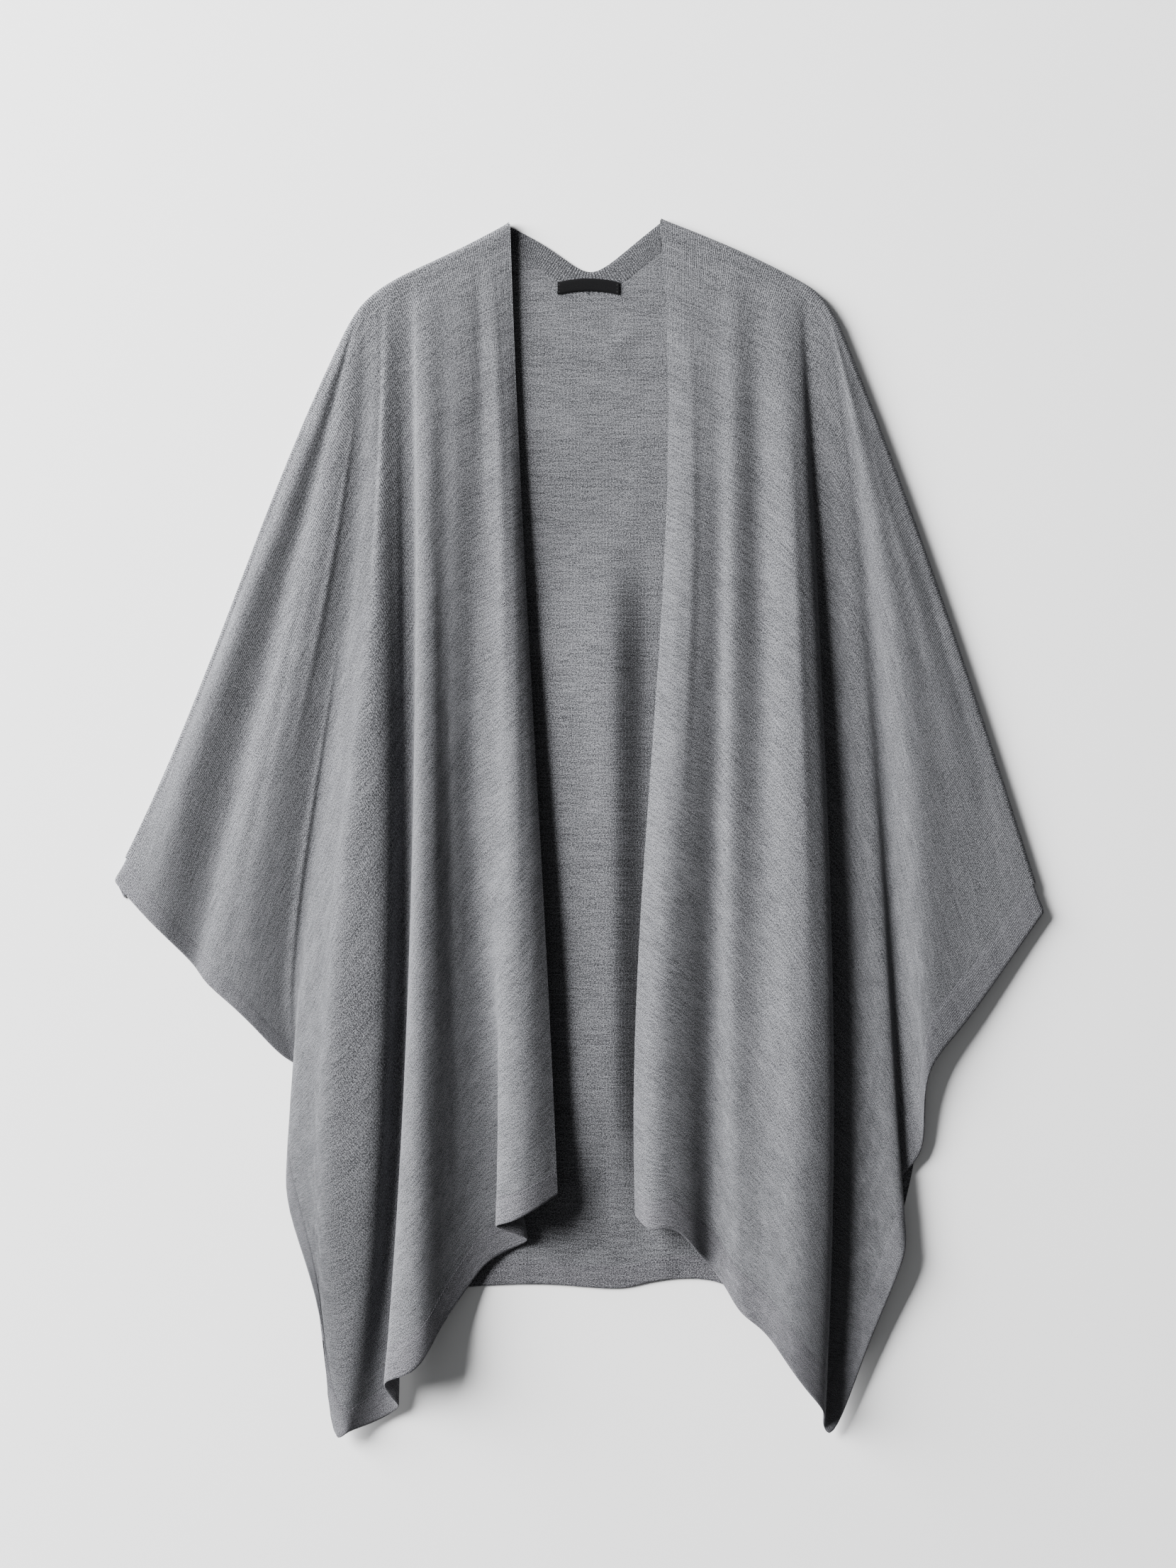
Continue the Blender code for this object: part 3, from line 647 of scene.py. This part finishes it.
def turned_under(edge, weave, side, half):
    """The cloth that turns under along an edge: rings round a half circle, then flat beneath. At the
    neck the way out runs straight up the garment, and along the shoulder it turns square to the edge.
    Near the neck the rings also slip outwards, which leaves room for the neck band's ends."""
    run = np.gradient(edge[:, :2], axis=0)
    out = unit(np.column_stack((-run[:, 1], run[:, 0])) * side)
    share = np.clip(run_along(edge[:, :2]) / NECK_BLEND, 0, 1)[:, None]
    share = share * share * (3 - 2 * share)
    out = unit(share * out + (1 - share) * np.array((0.0, 1.0)))
    under = FOLD_UNDER + (HEM_DEPTH - FOLD_UNDER) * (1 - share[:, 0])
    level = np.column_stack((out, np.zeros(len(out))))
    radius = ((edge[:, 2] - half) / 2)[:, None]
    up = np.array((0.0, 0.0, 1.0))
    turns = np.linspace(0, np.pi, TURN_STEPS + 1)[1:, None, None]
    rings = edge + level * (radius * np.sin(turns)) - up * (radius * (1 - np.cos(turns)))
    ways = -side * (level * np.sin(turns) + up * np.cos(turns))
    flat = np.array([rings[-1] - level * (under * k)[:, None] for k in (0.33, 0.66, 1.0)])
    rings = np.concatenate((rings, flat))
    back_off = np.linspace(0, 1, len(rings))[:, None] ** 0.5
    back_off = back_off * np.exp(-run_along(edge) / EDGE_BACK_REACH) * EDGE_BACK
    rings = rings + back_off[..., None] * np.array((side, 0.0, 0.0))
    ways = np.concatenate((ways, np.repeat(ways[-1:], len(flat), axis=0)))
    deep = -run_along(np.concatenate((edge[None], rings)))[1:]
    rings_weave = np.stack((np.broadcast_to(weave[:, 0], deep.shape), weave[:, 1] + deep), axis=-1)
    return rings, ways, rings_weave


def front_piece(name, grid, square, weave, half, finish, side, turn):
    """One front, or its band, with the cloth that turns under joined on along its turned edge. turn
    lists the grid's points along that edge."""
    rows, columns = grid.shape[:2]
    points, ways, chart = grid.reshape(-1, 3), square.reshape(-1, 3), weave.reshape(-1, 2)
    thick = np.broadcast_to(half, (rows, columns)).reshape(-1)
    faces = cells(rows, columns)
    if turn is not None:
        rings, ring_ways, ring_chart = turned_under(points[turn], chart[turn], side, thick[turn].max())
        numbers = len(points) + np.arange(len(rings) * len(turn)).reshape(len(rings), -1)
        numbers = np.concatenate((turn[None], numbers))
        a, b = numbers[:-1, :-1], numbers[:-1, 1:]
        c, d = numbers[1:, 1:], numbers[1:, :-1]
        faces = np.concatenate((faces, np.stack((b, a, d, c), axis=-1).reshape(-1, 4)))
        points = np.concatenate((points, rings.reshape(-1, 3)))
        ways = np.concatenate((ways, ring_ways.reshape(-1, 3)))
        chart = np.concatenate((chart, ring_chart.reshape(-1, 2)))
        thick = np.concatenate((thick, np.tile(thick[turn], rings.shape[0])))
    piece = cloth_piece(name, points, ways, thick, faces, chart, finish)
    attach(piece, "root")
    return piece


def aside(line, square, distance):
    """A row of points moved in the cloth, straight away from itself, towards the hem."""
    return line + unit(np.cross(square, np.gradient(line, axis=0))) * distance


def dress_front(hand, side, front):
    """The panel, hem band and side band of one front, cut from its surface along the seam and, in the
    band, at the corner."""
    grid, square, weave, seam, corner = front
    panel = grid[: seam + 1].copy()
    panel[-1] = aside(grid[seam], square[seam], -SEAM_GAP / 2)
    rows, columns = panel.shape[:2]
    turn = np.concatenate((np.arange(columns), np.arange(1, rows) * columns + columns - 1))
    ways, chart = square[: seam + 1], weave[: seam + 1]
    cloth = front_piece(f"{hand}_front_cloth", panel, ways, chart, CLOTH / 2, front_jersey, side, turn)
    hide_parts(f"{hand}_front_panel")

    band = grid[seam:].copy()
    band[0] = aside(grid[seam], square[seam], SEAM_GAP / 2)
    half = band_half(BAND_SHARES)[:, None]
    turned_up = band[:, : corner + 1]
    ways, chart = square[seam:, : corner + 1], weave[seam:, : corner + 1]
    hem = front_piece(f"{hand}_hem_cloth", turned_up, ways, chart, half, hem_jersey, side, None)
    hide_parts(f"{hand}_front_hem")

    edging = band[:, corner:]
    rows, columns = edging.shape[:2]
    turn = np.arange(rows) * columns + columns - 1
    ways, chart = square[seam:, corner:], weave[seam:, corner:]
    border = front_piece(f"{hand}_border_cloth", edging, ways, chart, half, border_knit, side, turn)
    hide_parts(f"{hand}_side_band")
    return cloth, hem, border


BORDER_LIGHT = (0.196, 0.197, 0.212, 1.0)
BORDER_WALE = 0.0016
BORDER_COURSE = 0.0013
front_jersey = heather_knit("front_jersey", DARK_FIBRE, LIGHT_FIBRE, wale_light_and_shade=0.30)
border_knit = heather_knit(
    "border_knit", WARM_DARK, BORDER_LIGHT, streak=0.6, wale=BORDER_WALE, course=BORDER_COURSE
)
left_surface = front_surface(LEFT_SHOULDER, LEFT_FOLDS, LEFT_RIPPLES, -1)
left_cloth, left_hem, left_border = dress_front("left", -1, left_surface)

# The right front: the other half of the front, in the same cloth, with one broad fold that laps over
# a deep hollow beside it, and the arm lying nearly flat.
RIGHT_SHOULDER = ((67, 501.5), (102, 487.5), (140, 471), (176, 453), (198, 438), (212, 417))
RIGHT_FOLDS = (
    Fold("front_edge", 0.000, (71, 228, 9), (53, -45, 10), (47, -321, 12)),
    Fold("front_crest", 0.095, (86, 225, 15), (70, -48, 20), (60, -331, 22)),
    Fold("front_brow", 0.160, (98, 222, 15), (84, -52, 19.5), (77, -331, 21.5)),
    Fold("front_slope", 0.215, (107, 220, 13.8), (97, -56, 15.6), (96, -348, 15)),
    Fold("front_hollow", 0.270, (114, 217, 13), (109, -61, 11.8), (107, -361, 8)),
    Fold("middle_rise", 0.330, (120, 213, 14.4), (117, -68, 13.4), (121, -380, 11.5)),
    Fold("middle_crest", 0.400, (128, 209, 17), (127, -78, 18.5), (134, -400, 18)),
    Fold("shallow", 0.490, (150, 200, 13.5), (149, -91, 17.5), (152, -415, 22)),
    Fold("great_crest", 0.620, (173, 188, 21), (179, -112, 28), (173, -443, 28)),
    Fold("great_brow", 0.690, (187, 178, 20.5), (198, -130, 27), (191, -467, 26)),
    Fold("great_lip", 0.730, (197, 168, 15), (209, -147, 19), (202, -483, 19)),
    Fold("great_tuck", 0.760, (199, 160, 8), (207, -155, 8.4), (203, -496, 9)),
    Fold("corner", 0.785, (206, 158, 7), (218, -160, 7), (208, -501, 7)),
    Fold("rib_rise", 0.808, (212, 164, 7.2), (229, -140, 7.2), (233, -446, 9)),
    Fold("rib_slope", 0.830, (218, 178, 7.9), (239, -112, 9), (256, -388, 12)),
    Fold("rib_crest", 0.850, (225, 188, 8.6), (247, -92, 10.6), (267, -359, 13.5)),
    Fold("rib_lip", 0.866, (230, 192, 8.4), (252, -80, 9.8), (270, -340, 11.5)),
    Fold("rib_tuck", 0.888, (234, 198, 7.6), (254.5, -56, 7), (264, -302, 8)),
    Fold("rib_under", 0.898, (237, 202, 7.2), (257, -45, 6), (268, -288, 5.5)),
    Fold("arm_hollow", 0.908, (240, 206, 7.6), (261, -32, 6.6), (281, -272, 6.5)),
    Fold("arm_rise", 0.922, (244, 218, 10), (268, -10, 11.4), (286, -247, 9)),
    Fold("arm_crest", 0.940, (251, 230, 12.6), (280, 20, 15.6), (290, -203, 13)),
    Fold("sleeve_near", 0.960, (259, 240, 11), (298, 50, 12.4), (315, -167, 11)),
    Fold("sleeve_far", 0.980, (267, 249, 9), (318, 76, 9.4), (354, -114, 8)),
    Fold("arm_fold", 1.000, (275, 253, 7.5), (331, 90, 7.5), (383.5, -72, 7)),
)
RIGHT_RIPPLES = (
    Ripple(1.4, 0.10, 1.8, 0.60, 0.35, 0.8),
    Ripple(6.8, 0.08, 7.2, 0.60, 0.35, -1.0),
    Ripple(7.6, 0.30, 7.9, 0.95, 0.30, 0.9),
    Ripple(8.5, 0.15, 8.4, 0.70, 0.30, 0.8),
    Ripple(22.4, 0.20, 22.6, 0.75, 0.35, 0.9),
    Ripple(23.4, 0.30, 23.3, 0.90, 0.30, -0.7),
)
right_surface = front_surface(RIGHT_SHOULDER, RIGHT_FOLDS, RIGHT_RIPPLES, 1)
right_cloth, right_hem, right_border = dress_front("right", 1, right_surface)

# The label: a narrow black satin tab, woven plain, bent to a shallow arch where it is sewn on below
# the neck band.
TAB_WIDTH = 0.051
TAB_HEIGHT = 0.0105
TAB_ARCH = 0.0032
TAB_CENTRE = (0.0075, 0.4475)
TAB_LIFT = 0.0025
TAB_SWELL = 0.0003
TAB_HALF = 0.0003
TAB_COLUMNS = 61
TAB_ROWS = 15
TWILL_ACROSS = 5200.0
TWILL_DOWN = 2600.0
SATIN_DARK = (0.0015, 0.0015, 0.0018, 1.0)
SATIN_LIGHT = (0.0050, 0.0050, 0.0056, 1.0)
satin = Finish("label_satin")
across, down = satin.weave()
twill = ((across * TWILL_ACROSS + down * TWILL_DOWN) * FULL_TURN).sine() * 0.5 + 0.5
satin.feed(satin.shader.inputs["Base Color"], satin.blend(twill, SATIN_DARK, SATIN_LIGHT))
satin.relief(twill, 0.00006, 0.6)
satin.shader.inputs["Roughness"].default_value = 0.72
satin.shader.inputs["Specular IOR Level"].default_value = 0.06
along_tab = np.linspace(-0.5, 0.5, TAB_COLUMNS)
up_tab = np.linspace(-0.5, 0.5, TAB_ROWS)[:, None]
arch = TAB_CENTRE[1] + TAB_ARCH * (1 - (2 * along_tab) ** 2)
x = np.broadcast_to(TAB_CENTRE[0] + along_tab * TAB_WIDTH, (TAB_ROWS, TAB_COLUMNS))
y = arch + up_tab * TAB_HEIGHT
swell = TAB_SWELL * (1 - (2 * up_tab) ** 4) * np.ones_like(x)
grid = np.stack((x, y, TAB_LIFT + swell), axis=-1)
weave = np.stack((x, y), axis=-1).reshape(-1, 2)
half = (TAB_HALF * np.clip(1.35 - np.abs(2 * up_tab) ** 6, 0.35, 1)) * np.ones_like(x)
square = square_to(grid).reshape(-1, 3)
half = half.reshape(-1)
faces = cells(TAB_ROWS, TAB_COLUMNS)
label_tab = cloth_piece("label_tab", grid.reshape(-1, 3), square, half, faces, weave, satin.material)
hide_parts("neck_label")
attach(label_tab, "root")

# The sewing: one row of small grey stitches holds each hem up, and black ones hold the label's ends.
STITCH_LENGTH = 0.0021
STITCH_PITCH = 0.0034
STITCH_RADIUS = 0.00024
STITCH_SIDES = 6
END_PITCH = 0.0028
END_INSET = 0.0014
END_LIFT = 0.00292
SEAM_DROP = 0.0022


def stitch_row(name, path, up, pitch, finish):
    """Stitches along a path: each one is a thread six-sided in section, its radius
    sqrt(1 - (2 place)^2) from end to end, sunk half way into the cloth."""
    length = run_along(path)
    spots = np.arange(pitch / 2, length[-1], pitch)
    centre = np.column_stack([np.interp(spots, length, c) for c in path.T])
    lift = unit(np.column_stack([np.interp(spots, length, c) for c in up.T]))
    ahead = unit(np.column_stack([np.interp(spots, length, c) for c in np.gradient(path, axis=0).T]))
    aslant = np.cross(lift, ahead)
    place = np.array((-0.5, -0.4, 0.0, 0.4, 0.5))
    radius = STITCH_RADIUS * np.sqrt(np.clip(1 - (2 * place) ** 2, 0.04, 1))
    turn = np.arange(STITCH_SIDES) / STITCH_SIDES * 2 * np.pi
    centre, ahead, aslant, lift = (v[:, None, None, :] for v in (centre, ahead, aslant, lift))
    rings = centre + ahead * (place * STITCH_LENGTH)[:, None, None]
    rings = rings + aslant * (radius[:, None] * np.cos(turn))[..., None]
    rings = rings + lift * (radius[:, None] * np.sin(turn))[..., None]
    each = len(place) * STITCH_SIDES
    first = np.arange(len(spots))[:, None, None] * each
    ring, spoke = np.meshgrid(np.arange(len(place) - 1), np.arange(STITCH_SIDES), indexing="ij")
    here, there = ring * STITCH_SIDES, (ring + 1) * STITCH_SIDES
    after = (spoke + 1) % STITCH_SIDES
    quad = np.stack((here + spoke, here + after, there + after, there + spoke), axis=-1).reshape(1, -1, 4)
    walls = (quad + first).reshape(-1, 4).tolist()
    ends = np.arange(STITCH_SIDES)[::-1], np.arange(each - STITCH_SIDES, each)
    caps = np.concatenate([end + first[:, 0] for end in ends]).tolist()
    mesh = bpy.data.meshes.new(name)
    mesh.from_pydata(rings.reshape(-1, 3).tolist(), [], walls + caps)
    mesh.shade_smooth()
    mesh.materials.append(finish)
    piece = bpy.data.objects.new(name, mesh)
    bpy.context.scene.collection.objects.link(piece)
    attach(piece, "root")
    return piece


def thread_finish(name, colour):
    thread = Finish(name)
    spot = thread.node("ShaderNodeTexCoord", {}, {})
    sockets = {"Vector": Signal(thread, spot.outputs["Object"]), "Scale": 900.0}
    noise = thread.node("ShaderNodeTexNoise", {}, sockets)
    share = Signal(thread, noise.outputs[0])
    lighter = tuple(min(1.0, c * 1.6) for c in colour[:3]) + (1.0,)
    thread.feed(thread.shader.inputs["Base Color"], thread.blend(share, colour, lighter))
    thread.shader.inputs["Roughness"].default_value = 0.7
    return thread.material


grey_thread = thread_finish("grey_thread", (0.055, 0.055, 0.061, 1.0))
black_thread = thread_finish("black_thread", (0.010, 0.010, 0.011, 1.0))


def hem_stitches(name, front, side):
    grid, square, weave, seam, corner = front
    line = grid[seam + 1, : corner + 1]
    up = -side * square[seam + 1, : corner + 1]
    return stitch_row(name, line + up * CLOTH * 0.62, up, STITCH_PITCH, grey_thread)


left_stitches = hem_stitches("left_hem_stitches", left_surface, -1)
right_stitches = hem_stitches("right_hem_stitches", right_surface, 1)
seam_flat = hem_seam - (0.0, SEAM_DROP)
path = np.column_stack((seam_flat, back_lift(seam_flat[:, 0], seam_flat[:, 1]) + CLOTH * 1.45))
up = np.tile((0.0, 0.0, 1.0), (len(path), 1))
back_stitches = stitch_row("back_hem_stitches", path, up, STITCH_PITCH, grey_thread)
up_end = np.linspace(-0.42, 0.42, 8) * TAB_HEIGHT + TAB_CENTRE[1] + 0.0004
up = np.tile((0.0, 0.0, 1.0), (len(up_end), 1))
for hand, end in (("left", -1), ("right", 1)):
    x = np.full_like(up_end, TAB_CENTRE[0] + end * (TAB_WIDTH / 2 - END_INSET))
    path = np.column_stack((x, up_end, np.full_like(up_end, END_LIFT)))
    piece = stitch_row(f"label_stitches_{hand}", path, up, END_PITCH, black_thread)

# The surface it lies on, the light and the camera. A big soft light stands low on the left, so the
# folds' right sides fall into shade, and the camera looks straight down.
PAPER_DARK = (0.800, 0.800, 0.803, 1.0)
PAPER_LIGHT = (0.815, 0.815, 0.818, 1.0)
FRAME_MIDDLE = (0.0074, 0.0365)
CAMERA_HEIGHT = 3.0
SENSOR = 36.0
FRAME_HEIGHT = 1.302
bpy.ops.mesh.primitive_plane_add(size=12.0, location=(0.0, 0.0, -0.0002))
surface = bpy.context.object
surface.name = "pale_surface"
pale = Finish("pale_paper")
spot = pale.node("ShaderNodeTexCoord", {}, {})
sockets = {"Vector": Signal(pale, spot.outputs["Object"]), "Scale": 40.0}
grain = Signal(pale, pale.node("ShaderNodeTexNoise", {}, sockets).outputs[0])
pale.feed(pale.shader.inputs["Base Color"], pale.blend(grain, PAPER_DARK, PAPER_LIGHT))
pale.shader.inputs["Roughness"].default_value = 0.95
pale.shader.inputs["Specular IOR Level"].default_value = 0.1
surface.data.materials.append(pale.material)


def soft_light(name, place, size, power):
    """A white rectangle of light at a place, turned to shine at the middle of the garment."""
    light = bpy.data.lights.new(name, "AREA")
    light.shape = "RECTANGLE"
    light.size, light.size_y = size
    light.energy = power
    lamp = bpy.data.objects.new(name, light)
    bpy.context.scene.collection.objects.link(lamp)
    lamp.location = place
    way = -np.array(place)
    lamp.rotation_euler = (
        np.arccos(-way[2] / np.linalg.norm(way)),
        0.0,
        np.arctan2(way[1], way[0]) - np.pi / 2,
    )
    return lamp


soft_light("window", place=(-4.40, 1.95, 2.02), size=(3.4, 3.2), power=2350.0)
world = bpy.data.worlds.new("studio")
world.use_nodes = True
sky = world.node_tree.nodes["Background"]
sky.inputs["Color"].default_value = (0.98, 0.99, 1.0, 1.0)
sky.inputs["Strength"].default_value = 0.17
bpy.context.scene.world = world

lens = bpy.data.cameras.new("overhead")
camera = bpy.data.objects.new("overhead", lens)
bpy.context.scene.collection.objects.link(camera)
camera.location = (*FRAME_MIDDLE, CAMERA_HEIGHT)
camera.rotation_euler = (0.0, 0.0, 0.0)
lens.sensor_width = SENSOR
lens.sensor_fit = "AUTO"
lens.lens = SENSOR * CAMERA_HEIGHT / FRAME_HEIGHT
bpy.context.scene.camera = camera
